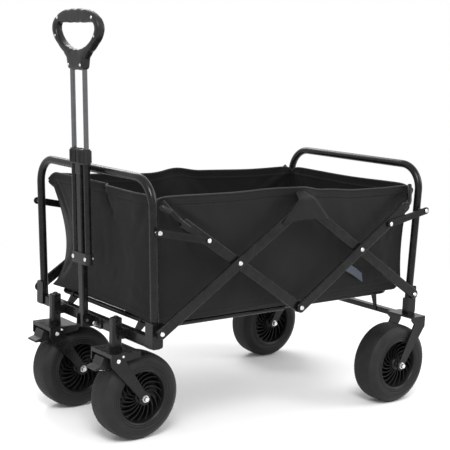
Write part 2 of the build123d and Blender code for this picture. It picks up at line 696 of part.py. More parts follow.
# ---- Build -------------------------------------------------------------------------------------
FRONT_LINK_Y = OUTER_Y - BAR_T / 2 + LINK_T / 2
REAR_LINK_Y = OUTER_Y + BAR_T / 2 + GAP + LINK_T / 2
MID_X = station(1, HALF_LENGTH)

make_hoop("front_hoop", 1, FRAME_TOP_Z)
make_hoop("rear_hoop", -1, FRAME_TOP_Z)
make_crossbar("front_crossbar", 1, 0, FRAME_TOP_Z, LEG_Y + HOOP_R, CROSSBAR_H, 1.6)
make_crossbar("rear_crossbar", -1, 10, REAR_FORK_TOP_Z, REAR_WHEEL_Y - FORK_IN - FORK_T, 14, 1.4)
make_brackets("front_brackets", 1, FRAME_TOP_Z - CROSSBAR_H + 2, 14, post=False)
make_brackets("rear_brackets", -1, REAR_FORK_TOP_Z, 14, post=True)
make_frame_pins("front_frame_pins", 1, OUTER_Y, FRONT_LINK_Y)
make_frame_pins("rear_frame_pins", -1, INNER_Y, REAR_LINK_Y)

for side, hand in ((1, "left"), (-1, "right")):
    for end, word in ((1, "front"), (-1, "rear")):
        make_side_bars(end, side, word, hand)
        make_link(f"{word}_link_{hand}", end, side, FRONT_LINK_Y if end > 0 else REAR_LINK_Y)
    outer_face, inner_face = OUTER_Y + BAR_T / 2, INNER_Y - BAR_T / 2
    make_rivets(f"front_lower_bar_rivets_{hand}", side,
                [(station(1, CROSS_X), CROSS_Z), (MID_X, MID_TOP_Z)], inner_face, outer_face)
    make_rivets(f"rear_lower_bar_rivet_{hand}", side, [(station(-1, CROSS_X), CROSS_Z)],
                inner_face, outer_face + GAP)
    make_rivets(f"front_upper_bar_rivet_{hand}", side, [(MID_X, MID_LOW_Z)],
                inner_face, outer_face + GAP)
    make_side_panel(f"side_panel_{hand}", side)
    make_bar_pocket(f"bar_pocket_{hand}", side)
    make_caster_fork(f"caster_fork_{hand}", side)
    make_axles(f"caster_axle_{hand}", station(1, CASTER_X + TRAIL), [side * CASTER_Y])
    make_brake_pedal(f"brake_pedal_{hand}", side)
    make_wheel(f"front_wheel_{hand}", station(1, CASTER_X + TRAIL), side * CASTER_Y)
    make_wheel(f"rear_wheel_{hand}", station(-1, REAR_AXLE_SET), side * REAR_WHEEL_Y)

for end, word, rail_y in ((1, "front", FLOOR_RAIL_Y[0]), (-1, "rear", FLOOR_RAIL_Y[1])):
    make_floor_frame(f"{word}_floor_frame", end, rail_y)
    make_floor_board(f"{word}_floor_board", end)
    make_end_panel(f"{word}_panel", end)

make_caster_housings()
make_rear_forks()
make_axles("rear_axles", station(-1, REAR_AXLE_SET), [-REAR_WHEEL_Y, REAR_WHEEL_Y])
make_handle_clevis()
make_handle()
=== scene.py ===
import json
from math import atan2, cos, exp, pi, radians, sin, sqrt

import bmesh
import bpy
from mathutils import Matrix, Vector, noise


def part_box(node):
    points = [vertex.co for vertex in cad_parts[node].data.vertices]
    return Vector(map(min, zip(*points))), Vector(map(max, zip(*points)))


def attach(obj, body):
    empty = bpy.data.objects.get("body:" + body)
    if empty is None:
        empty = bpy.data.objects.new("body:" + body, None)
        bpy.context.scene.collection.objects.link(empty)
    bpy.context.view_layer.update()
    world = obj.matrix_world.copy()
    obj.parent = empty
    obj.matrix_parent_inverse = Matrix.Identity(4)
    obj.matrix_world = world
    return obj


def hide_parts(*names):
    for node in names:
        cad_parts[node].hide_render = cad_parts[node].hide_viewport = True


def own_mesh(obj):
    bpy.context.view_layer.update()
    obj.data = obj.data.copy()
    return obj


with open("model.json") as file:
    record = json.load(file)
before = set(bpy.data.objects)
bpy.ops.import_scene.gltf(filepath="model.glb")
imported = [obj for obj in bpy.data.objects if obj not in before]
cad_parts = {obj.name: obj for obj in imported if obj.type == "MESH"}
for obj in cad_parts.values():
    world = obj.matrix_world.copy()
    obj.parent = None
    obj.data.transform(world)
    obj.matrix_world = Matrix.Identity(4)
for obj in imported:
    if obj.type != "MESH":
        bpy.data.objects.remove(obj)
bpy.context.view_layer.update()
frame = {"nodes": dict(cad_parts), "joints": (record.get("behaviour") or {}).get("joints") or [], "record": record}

# ---- Places and sizes taken from the frame, metres ---------------------------------------------
BOX = {name: (Vector(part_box(name)[0]), Vector(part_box(name)[1])) for name in frame["nodes"]}


def low(node):
    return BOX[node][0]


def high(node):
    return BOX[node][1]


def centre(node):
    return (low(node) + high(node)) / 2


JOINT = {joint["name"]: joint for joint in frame["joints"]}
FRONT_X = JOINT["fold"]["pos_m"][0]
REAR_X = JOINT["rear_frame_pivot"]["pos_m"][0]
LENGTH = REAR_X - FRONT_X
MIDDLE_X = (FRONT_X + REAR_X) / 2
SIDE_RUN = LENGTH - 0.03   # a side wall between the leaning end walls
WALL_Y = (low("side_panel_left").y + high("side_panel_left").y) / 2
WALL_TOP = high("front_panel").z
WALL_LOW = low("front_panel").z
TUBE_Y = high("handle_inner_tubes").y - 0.0057     # centre lines of the two handle tubes
SIDES = ((1, "left"), (-1, "right"))


# ---- Camera --------------------------------------------------------------------------------------
VIEW_TURN = (-37.93, 9.01, 2.04)          # yaw, pitch and roll, degrees
LENS, SENSOR = 88.14, 36                  # mm
CAMERA_PLACE = (FRONT_X - 1.298, -2.142, 0.872)


def add_camera():
    yaw, pitch, roll = (radians(angle) for angle in VIEW_TURN)
    back = Vector((sin(yaw) * cos(pitch), -cos(yaw) * cos(pitch), sin(pitch)))
    right = Vector((0, 0, 1)).cross(back).normalized()
    up = back.cross(right)
    right, up = cos(roll) * right + sin(roll) * up, -sin(roll) * right + cos(roll) * up
    data = bpy.data.cameras.new("camera")
    data.sensor_width = SENSOR
    data.lens = LENS
    camera = bpy.data.objects.new("camera", data)
    bpy.context.collection.objects.link(camera)
    camera.matrix_world = Matrix((right, up, back)).transposed().to_4x4()
    camera.location = CAMERA_PLACE
    bpy.context.scene.camera = camera


# ---- Light, world and floor --------------------------------------------------------------------
LIGHTS = (  # name, place, the point it looks at, width and height, power in watts
    ("key", (-1.6, -1.8, 2.6), (0, 0, 0.3), (1.2, 1.2), 76),
    ("fill", (2.2, -1.6, 1.8), (0, 0, 0.3), (1.4, 1.4), 28),
    ("back", (0.6, 2.4, 2.4), (0, 0, 0.4), (2.0, 1.0), 44),
)
FLOOR_SIZE = 60
FLOOR_FADE = (0.75, 2.2)   # distances from the middle between which the floor turns into plain white


def area_light(name, place, target, size, power):
    data = bpy.data.lights.new(name, "AREA")
    data.shape = "RECTANGLE"
    data.size, data.size_y = size
    data.energy = power
    light = bpy.data.objects.new(name, data)
    bpy.context.collection.objects.link(light)
    light.location = place
    light.rotation_euler = (Vector(target) - Vector(place)).to_track_quat("-Z", "Y").to_euler()


def add_studio():
    scene = bpy.context.scene
    scene.view_settings.view_transform = "Standard"
    world = bpy.data.worlds.new("studio")
    world.use_nodes = True
    sky = world.node_tree.nodes["Background"]
    sky.inputs["Color"].default_value = (1, 1, 1, 1)
    sky.inputs["Strength"].default_value = 1.0
    scene.world = world
    for light in LIGHTS:
        area_light(*light)
    bpy.ops.mesh.primitive_plane_add(size=FLOOR_SIZE, location=(0, 0, 0))
    ground = bpy.context.object
    ground.name = "studio_floor"
    shade, nodes, links = material("studio_floor", (0.88, 0.88, 0.88), 0.95, Specular_IOR_Level=0.0)
    place = nodes.new("ShaderNodeTexCoord")
    away = nodes.new("ShaderNodeVectorMath")
    away.operation = "LENGTH"
    fade = nodes.new("ShaderNodeMapRange")
    fade.interpolation_type = "SMOOTHSTEP"
    fade.inputs["From Min"].default_value, fade.inputs["From Max"].default_value = FLOOR_FADE
    glow = nodes.new("ShaderNodeEmission")
    mix = nodes.new("ShaderNodeMixShader")
    links.new(place.outputs["Object"], away.inputs[0])
    links.new(away.outputs["Value"], fade.inputs["Value"])
    links.new(fade.outputs["Result"], mix.inputs["Fac"])
    links.new(nodes["Principled BSDF"].outputs[0], mix.inputs[1])
    links.new(glow.outputs[0], mix.inputs[2])
    links.new(mix.outputs[0], nodes["Material Output"].inputs["Surface"])
    ground.data.materials.append(shade)


# ---- Materials -----------------------------------------------------------------------------------
def material(name, colour, rough, metal=0.0, **extra):
    """A Principled material; returns it with its nodes and links for the caller to add detail."""
    shade = bpy.data.materials.new(name)
    shade.use_nodes = True
    nodes, links = shade.node_tree.nodes, shade.node_tree.links
    body = nodes["Principled BSDF"]
    body.inputs["Base Color"].default_value = (*colour, 1)
    body.inputs["Roughness"].default_value = rough
    body.inputs["Metallic"].default_value = metal
    for key, value in extra.items():
        body.inputs[key.replace("_", " ")].default_value = value
    return shade, nodes, links


def noise_node(nodes, links, scale, detail=3.0, stretch=(1, 1, 1)):
    """A noise pattern in object space, drawn out along the axes where stretch is small."""
    place = nodes.new("ShaderNodeTexCoord")
    mapping = nodes.new("ShaderNodeMapping")
    mapping.inputs["Scale"].default_value = stretch
    pattern = nodes.new("ShaderNodeTexNoise")
    pattern.inputs["Scale"].default_value = scale
    pattern.inputs["Detail"].default_value = detail
    links.new(place.outputs["Object"], mapping.inputs["Vector"])
    links.new(mapping.outputs["Vector"], pattern.inputs["Vector"])
    return pattern


def vary(nodes, links, pattern, socket, low_value, high_value):
    """Drives a shader socket from a pattern between two values or colours."""
    ramp = nodes.new("ShaderNodeMapRange")
    ramp.inputs["From Min"].default_value = 0.3
    ramp.inputs["From Max"].default_value = 0.7
    body = nodes["Principled BSDF"]
    links.new(pattern.outputs[0], ramp.inputs["Value"])
    if isinstance(low_value, tuple):
        mix = nodes.new("ShaderNodeMix")
        mix.data_type = "RGBA"
        mix.inputs["A"].default_value = (*low_value, 1)
        mix.inputs["B"].default_value = (*high_value, 1)
        links.new(ramp.outputs["Result"], mix.inputs["Factor"])
        links.new(mix.outputs["Result"], body.inputs[socket])
    else:
        ramp.inputs["To Min"].default_value = low_value
        ramp.inputs["To Max"].default_value = high_value
        links.new(ramp.outputs["Result"], body.inputs[socket])


def bump(nodes, links, height, strength, distance, under=None):
    """Small relief on the surface; under is a coarser bump that it adds to."""
    node = nodes.new("ShaderNodeBump")
    node.inputs["Strength"].default_value = strength
    node.inputs["Distance"].default_value = distance
    links.new(height, node.inputs["Height"])
    if under:
        links.new(under.outputs["Normal"], node.inputs["Normal"])
    links.new(node.outputs["Normal"], nodes["Principled BSDF"].inputs["Normal"])
    return node


def scaled(colour, factor):
    return tuple(c * factor for c in colour)


def powder_coat():
    shade, nodes, links = material("frame_paint", (0.005, 0.005, 0.0053), 0.24, Specular_IOR_Level=0.22)
    speck = noise_node(nodes, links, 60)
    vary(nodes, links, speck, "Base Color", (0.004, 0.004, 0.0042), (0.008, 0.008, 0.0083))
    vary(nodes, links, speck, "Roughness", 0.18, 0.30)
    peel = noise_node(nodes, links, 900, 2)
    bump(nodes, links, peel.outputs[0], 0.12, 0.0004)
    return shade


def metal(name, colour, rough, grain):
    shade, nodes, links = material(name, colour, rough, 1.0)
    wear = noise_node(nodes, links, 120, 4)
    vary(nodes, links, wear, "Roughness", rough - 0.07, rough + 0.1)
    vary(nodes, links, wear, "Base Color", scaled(colour, 0.86), colour)
    lines = noise_node(nodes, links, 400, 2, grain)
    bump(nodes, links, lines.outputs[0], 0.08, 0.0002)
    return shade


def plastic(name, colour, rough, texture_scale=700, strength=0.15):
    shade, nodes, links = material(name, colour, rough, Specular_IOR_Level=0.3)
    tone = noise_node(nodes, links, 35)
    vary(nodes, links, tone, "Base Color", scaled(colour, 0.8), scaled(colour, 1.2))
    vary(nodes, links, tone, "Roughness", rough - 0.05, rough + 0.06)
    grain = noise_node(nodes, links, texture_scale, 2)
    bump(nodes, links, grain.outputs[0], strength, 0.0004)
    return shade


def rubber():
    shade, nodes, links = material("tyre", (0.010, 0.010, 0.0105), 0.6, Specular_IOR_Level=0.22)
    dust = noise_node(nodes, links, 22, 5)
    vary(nodes, links, dust, "Base Color", (0.007, 0.007, 0.0074), (0.017, 0.017, 0.0176))
    vary(nodes, links, dust, "Roughness", 0.45, 0.66)
    grain = noise_node(nodes, links, 500, 4)
    bump(nodes, links, grain.outputs[0], 0.3, 0.0005)
    return shade


def woven(name, colour, rough, flat=False, pitch=0.0011):
    """Coated oxford cloth: crossing yarns, slight cloudiness and soft creases."""
    shade, nodes, links = material(name, colour, rough, Specular_IOR_Level=0.16, Sheen_Weight=0.03)
    shade.node_tree.nodes["Principled BSDF"].inputs["Sheen Roughness"].default_value = 0.4
    place = nodes.new("ShaderNodeTexCoord")
    split = nodes.new("ShaderNodeSeparateXYZ")
    links.new(place.outputs["Object"], split.inputs["Vector"])
    across = nodes.new("ShaderNodeMath")
    across.operation = "ADD"
    links.new(split.outputs["X"], across.inputs[0])
    if not flat:
        links.new(split.outputs["Y"], across.inputs[1])
    waves = []
    for source in (across.outputs[0], split.outputs["Y" if flat else "Z"]):
        turn = nodes.new("ShaderNodeMath")
        turn.operation = "MULTIPLY"
        turn.inputs[1].default_value = 2 * pi / pitch
        links.new(source, turn.inputs[0])
        wave = nodes.new("ShaderNodeMath")
        wave.operation = "SINE"
        links.new(turn.outputs[0], wave.inputs[0])
        waves.append(wave)
    yarns = nodes.new("ShaderNodeMath")
    yarns.operation = "MULTIPLY"
    links.new(waves[0].outputs[0], yarns.inputs[0])
    links.new(waves[1].outputs[0], yarns.inputs[1])
    cloud = noise_node(nodes, links, 9, 4)
    vary(nodes, links, cloud, "Base Color", scaled(colour, 0.8), scaled(colour, 1.22))
    vary(nodes, links, cloud, "Roughness", rough - 0.06, rough + 0.08)
    crease = noise_node(nodes, links, 26, 3, (1, 1, 0.5))
    soft = bump(nodes, links, crease.outputs[0], 0.22, 0.004)
    bump(nodes, links, yarns.outputs[0], 0.35, 0.0004, soft)
    return shade


def make_materials():
    return {
        "frame_paint": powder_coat(),
        "zinc": metal("zinc", (0.78, 0.79, 0.80), 0.28, (1, 1, 1)),
        "bright_steel": metal("bright_steel", (0.15, 0.153, 0.158), 0.12, (1, 1, 0.02)),
        "black_plastic": plastic("black_plastic", (0.009, 0.009, 0.0094), 0.4),
        "grip_plastic": plastic("grip_plastic", (0.007, 0.007, 0.0073), 0.42, 900, 0.3),
        "hub_plastic": plastic("hub_plastic", (0.004, 0.004, 0.0042), 0.45),
        "tyre": rubber(),
        "basket_fabric": woven("basket_fabric", (0.0082, 0.0082, 0.0085), 0.66),
        "floor_fabric": woven("floor_fabric", (0.010, 0.010, 0.0104), 0.7, flat=True),
        # the basket cloth again, made darker: painted shade for the inside of the basket
        "painted_shade_lining": woven("painted_shade_lining", (0.0045, 0.0045, 0.0047), 0.8),
        "webbing": woven("webbing", (0.075, 0.084, 0.108), 0.7, pitch=0.0022),
        "webbing_black": woven("webbing_black", (0.024, 0.024, 0.025), 0.55, pitch=0.0016),
        "thread": woven("thread", (0.045, 0.045, 0.046), 0.6, pitch=0.0008),
    }


def paint_cad():
    """Gives every CAD piece the material of its slot."""
    for entry in frame["record"]["subparts"]:
        node = frame["nodes"][entry["node"]]
        node.data.materials.clear()
        node.data.materials.append(MATERIALS[entry["material_slot"]])


# ---- Mesh helpers ---------------------------------------------------------------------------------
def clean(item):
    """Joins the doubled points of a mesh and turns its faces outward."""
    shape = bmesh.new()
    shape.from_mesh(item.data)
    bmesh.ops.remove_doubles(shape, verts=shape.verts, dist=2e-6)
    bmesh.ops.recalc_face_normals(shape, faces=shape.faces)
    shape.to_mesh(item.data)
    shape.free()


def add_piece(name, verts, faces, shade, body=None, smooth=True, at=None):
    """A mesh object in a material; it rides on a body where one is named."""
    mesh = bpy.data.meshes.new(name)
    mesh.from_pydata([tuple(v) for v in verts], [], faces)
    mesh.materials.append(MATERIALS[shade])
    item = bpy.data.objects.new(name, mesh)
    bpy.context.collection.objects.link(item)
    clean(item)
    for face in mesh.polygons:
        face.use_smooth = smooth
    if at is not None:
        item.matrix_world = at
    if body:
        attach(item, body)
    SLOT.get(shade, shade)
    return item


def apply_modifiers(item):
    bpy.context.view_layer.update()
    shown = item.evaluated_get(bpy.context.evaluated_depsgraph_get())
    ready = bpy.data.meshes.new_from_object(shown)
    item.modifiers.clear()
    item.data = ready
    return item


def thicken(item, thickness, offset):
    """Gives a cloth surface its thickness."""
    cloth = item.modifiers.new("cloth", "SOLIDIFY")
    cloth.thickness, cloth.offset = thickness, offset
    return apply_modifiers(item)


def soften(item, width, segments=2, angle=35):
    """Rounds the edges that are sharper than the angle, and keeps flat faces flat."""
    bevel = item.modifiers.new("bevel", "BEVEL")
    bevel.width, bevel.segments = width, segments
    bevel.limit_method, bevel.angle_limit = "ANGLE", radians(angle)
    bevel.harden_normals = True
    return apply_modifiers(item)


def grid(rows, cols, place, close_rows=False, close_cols=False):
    """A surface of rows by columns with its points at place(row, column)."""
    verts = [place(i, j) for i in range(rows) for j in range(cols)]
    faces = []
    for i in range(rows if close_rows else rows - 1):
        for j in range(cols if close_cols else cols - 1):
            below, beside = (i + 1) % rows, (j + 1) % cols
            faces.append((i * cols + j, i * cols + beside, below * cols + beside, below * cols + j))
    return verts, faces


def turned(profile, segments=32, ripple=None):
    """A closed profile of (radius, height) turned about Y; ripple(r, y, angle) moves the radius."""
    def place(i, j):
        r, y = profile[i]
        angle = 2 * pi * j / segments
        if ripple:
            r += ripple(r, y, angle)
        return Vector((r * cos(angle), y, r * sin(angle)))
    return grid(len(profile), segments, place, True, True)


def ribbon(left, right, depth):
    """A thin solid bar between two lists of points, as deep as the vector depth(i)."""
    loop = [[a, b, b + depth(i), a + depth(i)] for i, (a, b) in enumerate(zip(left, right))]
    verts = [p for ring in loop for p in ring]
    faces = [(4 * i + j, 4 * i + (j + 1) % 4, 4 * i + 4 + (j + 1) % 4, 4 * i + 4 + j)
             for i in range(len(loop) - 1) for j in range(4)]
    last = 4 * (len(loop) - 1)
    return verts, faces + [(0, 1, 2, 3), (last + 3, last + 2, last + 1, last)]


def merged(*shapes):
    """Several shapes of points and faces as one."""
    verts, faces = [], []
    for more_verts, more_faces in shapes:
        start = len(verts)
        verts += more_verts
        faces += [tuple(start + k for k in face) for face in more_faces]
    return verts, faces


def placed(shape, matrix):
    return [matrix @ Vector(v) for v in shape[0]], shape[1]


def facing(place, direction, turn=0.0):
    """Puts a turned shape's Y axis along a direction."""
    return (Matrix.Translation(place) @ Vector(direction).to_track_quat("Y", "Z").to_matrix().to_4x4()
            @ Matrix.Rotation(turn, 4, "Y"))


def head(radius, height, dimple=0.3):
    """A domed screw or rivet head with a small recess, standing on y = 0."""
    angles = [radians(k) for k in (88, 70, 52, 36, 24)]
    foot = [(0, -height * 0.5), (radius, -height * 0.5), (radius, height * 0.2)]
    dome = [(radius * sin(a), height * (0.35 + 0.65 * cos(a))) for a in angles]
    recess = [(radius * dimple, height * 0.86), (radius * dimple * 0.8, height * 0.55), (0, height * 0.5)]
    return turned(foot + dome + recess, 24)


def hexagon(radius, height):
    """A six-sided bolt head standing on y = 0."""
    ring = [Vector((radius * cos(radians(60 * k)), 0, radius * sin(radians(60 * k)))) for k in range(6)]
    rise = Vector((0, height, 0))
    ends = [tuple(range(5, -1, -1)), tuple(range(6, 12))]
    sides = [(k, (k + 1) % 6, 6 + (k + 1) % 6, 6 + k) for k in range(6)]
    return ring + [p + rise for p in ring], ends + sides


def bell(x, width):
    """1 at x = 0, falling smoothly to nothing a few widths away."""
    return exp(-(x / width) ** 2)


def ease(t):
    """A smooth step from 0 at t = 0 to 1 at t = 1."""
    t = min(max(t, 0.0), 1.0)
    return t * t * (3 - 2 * t)


def along(knots, x):
    """The smooth value at x of a line through (x, value) knots."""
    for (x0, v0), (x1, v1) in zip(knots, knots[1:]):
        if x <= x1:
            return v0 + (v1 - v0) * ease((x - x0) / (x1 - x0))
    return knots[-1][1]


# ---- Wheels ----------------------------------------------------------------------------------------
BLOCKS, BLOCK_ROW = 74, 0.0054            # tread blocks round the tyre, width of a row
BLOCK_DEPTH = 0.0010
CROWN_STEPS, CROWN_HALF, CROWN_R, CROWN_RISE = 40, 0.0270, 0.0960, 0.0040
VANES, VANE_ROOT, VANE_REACH, VANE_SWEEP = 18, 0.0158, 0.0408, 0.80


def tread(r, y, angle):
    """Small staggered blocks over the crown that fade out at the shoulders."""
    fade = ease((0.031 - abs(y)) / 0.008) if r > 0.08 else 0.0
    if not fade:
        return 0.0
    rows = (y + 0.05) / BLOCK_ROW
    across = rows % 1
    round_it = (angle * BLOCKS / (2 * pi) + 0.5 * (int(rows) % 2)) % 1
    along_groove = ease((0.2 - min(across, 1 - across)) / 0.2)
    cross_groove = ease((0.16 - min(round_it, 1 - round_it)) / 0.16)
    return -BLOCK_DEPTH * max(along_groove, cross_groove) * fade


def tyre_shape():
    """Sidewall with bead and moulded rings, and a crown with tread."""
    side = [(0.0620, 0.0300), (0.0640, 0.0345), (0.0664, 0.0368), (0.0684, 0.0366), (0.0696, 0.0350),
            (0.0710, 0.0350), (0.0722, 0.0370), (0.0750, 0.0375), (0.0764, 0.0362), (0.0778, 0.0372),
            (0.0810, 0.0370), (0.0845, 0.0358), (0.0880, 0.0340), (0.0914, 0.0316), (0.0942, 0.0288)]
    crown = []
    for k in range(CROWN_STEPS + 1):
        y = CROWN_HALF * (1 - 2 * k / CROWN_STEPS)
        crown.append((CROWN_R + CROWN_RISE * sqrt(1 - (abs(y) / (CROWN_HALF + 0.0005)) ** 2.6), y))
    other = [(r, -y) for r, y in reversed(side)]
    return turned(side + crown + other, BLOCKS * 4, tread)


def hub_shape():
    """A dished hub with curved vanes on both faces."""
    side = [(0.0072, 0.0296), (0.0125, 0.0296), (0.0150, 0.0280), (0.0162, 0.0250), (0.0166, 0.0090),
            (0.0200, 0.0070), (0.0500, 0.0070), (0.0545, 0.0100), (0.0562, 0.0200), (0.0578, 0.0315),
            (0.0600, 0.0352), (0.0628, 0.0364), (0.0645, 0.0355), (0.0642, 0.0335), (0.0618, 0.0300)]
    shapes = [turned(side + [(r, -y) for r, y in reversed(side)], 96)]
    for face in (1, -1):
        for k in range(VANES):
            start = 2 * pi * (k + (0.5 if face < 0 else 0)) / VANES
            left, right, rise = [], [], []
            for n in range(9):
                t = n / 8
                r = VANE_ROOT + VANE_REACH * t
                angle = start + face * VANE_SWEEP * t ** 1.35
                half = (0.0009 + 0.0003 * t) / r
                left.append(Vector((r * cos(angle - half), face * 0.006, r * sin(angle - half))))
                right.append(Vector((r * cos(angle + half), face * 0.006, r * sin(angle + half))))
                rise.append(Vector((0, face * (0.0170 + 0.0020 * t - 0.016 * t * (1 - t)), 0)))
            shapes.append(ribbon(left, right, lambda i: rise[i]))
    return merged(*shapes)


def make_wheels():
    """Treaded tyres and vaned hubs in the place of the plain ones."""
    tyre, hub = tyre_shape(), hub_shape()
    for place in ("front", "rear"):
        for side, hand in SIDES:
            name = f"{place}_wheel_{hand}"
            middle = centre(f"{name}_tyre")
            at = Matrix.Translation(middle) @ Matrix.Rotation(0 if side < 0 else pi, 4, "Z")
            rubber_piece = add_piece(f"{name}_tread_tyre", *tyre, "tyre", name, at=at)
            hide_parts(f"{name}_tyre")
            rim = add_piece(f"{name}_vaned_hub", *hub, "hub_plastic", name, smooth=False, at=at)
            rim.data.shade_smooth()
            rim.data.set_sharp_from_angle(angle=radians(38))
            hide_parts(f"{name}_hub")


# ---- Grip of the pull handle ---------------------------------------------------------------------------
GRIP_OUTER = ((0, 0), (0.024, -0.0005), (0.0345, 0.001), (0.0350, 0.012), (0.0372, 0.024), (0.0510, 0.038),
              (0.0740, 0.055), (0.0930, 0.071), (0.1010, 0.086), (0.1000, 0.098), (0.0920, 0.110),
              (0.0760, 0.1210), (0.0560, 0.1285), (0.0300, 0.1310), (0, 0.1315))
GRIP_HOLE = ((0, 0.0455), (0.0190, 0.0465), (0.0360, 0.0502), (0.0530, 0.0565), (0.0680, 0.0660), (0.0780, 0.0775),
             (0.0830, 0.0880), (0.0810, 0.0970), (0.0735, 0.1035), (0.0630, 0.1040), (0.0500, 0.1015),
             (0.0250, 0.1007), (0, 0.1000))
GRIP_EYE = 0.078                          # height of the point that both outlines are drawn round
GRIP_THICK, GRIP_THIN = 0.0114, 0.0010    # half thickness at the foot, and how much less at the bar
FINGER_WAVE, FINGER_PITCH = 0.0014, 0.0225
GRIP_SCREWS = ((0.0740, 0.1135, 0.0094), (0.0840, 0.0735, 0.0096), (0.0255, 0.0110, 0.0110))
SQUARENESS = 0.62                         # 1 is a round section, smaller is boxier


def handle_tilt():
    """How far the pull handle leans from upright, radians."""
    rise = centre("handle_grip") - centre("handle_inner_tubes")
    return atan2(rise.x, rise.z)


def boxy(value):
    return (abs(value) ** SQUARENESS) * (1 if value > 0 else -1)


def reach(outline, angle):
    """How far an outline of half widths and heights lies from the grip's eye in a direction."""
    near = None
    polar = sorted((atan2(h - GRIP_EYE, w), sqrt(w * w + (h - GRIP_EYE) ** 2)) for w, h in outline)
    for (a0, r0), (a1, r1) in zip(polar, polar[1:]):
        if a0 <= angle <= a1:
            near = r0 + (r1 - r0) * (angle - a0) / max(a1 - a0, 1e-9)
    return near or (polar[0][1] if angle < 0 else polar[-1][1])


def make_grip():
    """A moulded D in two halves, with finger waves under the bar, held by six screws."""
    base = low("handle_grip").z + 0.0012
    tilt = handle_tilt()
    tubes = centre("handle_inner_tubes")
    foot = Vector((tubes.x + (base - tubes.z) * tilt, 0, base))
    lean = Matrix.Translation(foot) @ Matrix.Rotation(tilt, 4, "Y")
    around, ring = 160, 24

    def place(i, j):
        turn = -pi / 2 + 2 * pi * i / around
        side = 1 if cos(turn) >= 0 else -1
        angle = atan2(sin(turn), abs(cos(turn)))
        inner, outer = reach(GRIP_HOLE, angle), reach(GRIP_OUTER, angle)
        w_in = inner * cos(angle)
        if sin(angle) > 0.2 and w_in < 0.056:
            inner += FINGER_WAVE * cos(2 * pi * w_in / FINGER_PITCH)
        section = 2 * pi * j / ring
        mid, half = (inner + outer) / 2, (outer - inner) / 2
        run = mid + half * boxy(cos(section))
        h = GRIP_EYE + run * sin(angle)
        thick = GRIP_THICK - GRIP_THIN * ease((h - 0.05) / 0.05)
        return lean @ Vector((thick * boxy(sin(section)), side * run * cos(angle), h))

    grip = add_piece("grip_moulding", *grid(around, ring, place, True, True), "grip_plastic")
    smooth = grip.modifiers.new("smooth", "SMOOTH")
    smooth.factor, smooth.iterations = 0.5, 3
    apply_modifiers(grip)
    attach(grip, "handle_slide")
    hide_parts("handle_grip")
    screws = []
    for w, h, thick in GRIP_SCREWS:
        for side in (1, -1):
            for way in (-1, 1):
                spot = lean @ Vector((way * thick, side * w, h))
                outward = lean.to_3x3() @ Vector((way, 0, 0))
                screws.append(placed(head(0.0034, 0.0016), facing(spot, outward)))
    add_piece("grip_screws", *merged(*screws), "zinc", "handle_slide")


# ---- The basket ------------------------------------------------------------------------------------------
def wall_x(end, z):
    """The end walls lean outward with the hoops."""
    t = (z - WALL_LOW) / (WALL_TOP - WALL_LOW)
    if end == "front":
        return high("front_panel").x - 0.0015 + t * (low("front_panel").x - high("front_panel").x + 0.003)
    return low("rear_panel").x + 0.0015 + t * (high("rear_panel").x - low("rear_panel").x - 0.003)


BOW = {"front": 0.027, "rear": 0.006}     # how far the end walls' upright edges are drawn inward
TOP = {  # heights of the top edge along each wall, from its start to its end
    "front": ((0, 0.560), (0.08, 0.566), (0.5, 0.566), (0.58, 0.5655), (0.6, 0.563), (0.93, 0.561), (1, 0.559)),
    "right": ((0, 0.559), (0.25, 0.558), (0.5, 0.564), (0.62, 0.552), (0.76, 0.546), (0.88, 0.546), (1, 0.550)),
    "rear": ((0, 0.550), (0.5, 0.546), (1, 0.549)),
    "left": ((0, 0.549), (0.2, 0.546), (0.42, 0.549), (0.5, 0.556), (0.63, 0.548), (0.85, 0.553), (1, 0.560)),
}
FOOT = {
    "front": ((0, 0.284), (0.35, 0.291), (0.62, 0.289), (1, 0.280)),
    "right": ((0, 0.280), (0.15, 0.283), (0.46, 0.291), (0.78, 0.294), (1, 0.297)),
    "rear": ((0, 0.297), (0.5, 0.293), (1, 0.297)),
    "left": ((0, 0.297), (0.25, 0.293), (0.54, 0.291), (0.86, 0.285), (1, 0.284)),
}
NORMAL = {"front": Vector((-1, 0, 0)), "rear": Vector((1, 0, 0)),
          "right": Vector((0, -1, 0)), "left": Vector((0, 1, 0))}
CREASES = {  # start (along, up), end, width, depth, all as shares of the wall or metres
    "right": (((0.02, 0.96), (0.20, 0.62), 0.010, 0.0030), ((0.03, 0.90), (0.12, 0.45), 0.008, 0.0024),
              ((0.47, 0.93), (0.33, 0.55), 0.012, 0.0024), ((0.53, 0.92), (0.66, 0.50), 0.012, 0.0022),
              ((0.98, 0.95), (0.80, 0.66), 0.010, 0.0028), ((0.97, 0.85), (0.90, 0.40), 0.008, 0.0020),
              ((0.05, 0.08), (0.24, 0.22), 0.009, 0.0022), ((0.93, 0.10), (0.74, 0.20), 0.010, 0.0022),
              ((0.42, 0.10), (0.50, 0.38), 0.012, 0.0018)),
    "front": (((0.05, 0.93), (0.16, 0.55), 0.009, 0.0028), ((0.95, 0.93), (0.84, 0.60), 0.010, 0.0024),
              ((0.05, 0.12), (0.20, 0.34), 0.010, 0.0026), ((0.95, 0.12), (0.80, 0.28), 0.010, 0.0022),
              ((0.42, 0.96), (0.40, 0.70), 0.010, 0.0016)),
}
CREASES["left"] = tuple(((1 - a, b), (1 - c, d), w, k) for (a, b), (c, d), w, k in CREASES["right"])
CREASES["rear"] = tuple(((1 - a, b), (1 - c, d), w, k) for (a, b), (c, d), w, k in CREASES["front"][:4])
WALLS = ("front", "right", "rear", "left")
RIPPLES = ((0.0050, 6, 9, 0), (0.0022, 22, 8, 3), (0.0008, 60, 30, 5))   # depth, waves per metre, seed
CLOTH = 0.0022                            # thickness of the basket's cloth
LIP_ROWS, LIP_X, LIP_Y = 8, 0.044, 0.020  # the lip turned in at the bottom: rows, width at ends and sides
STITCH_STEP, STITCH_HALF = 0.006, 0.0017
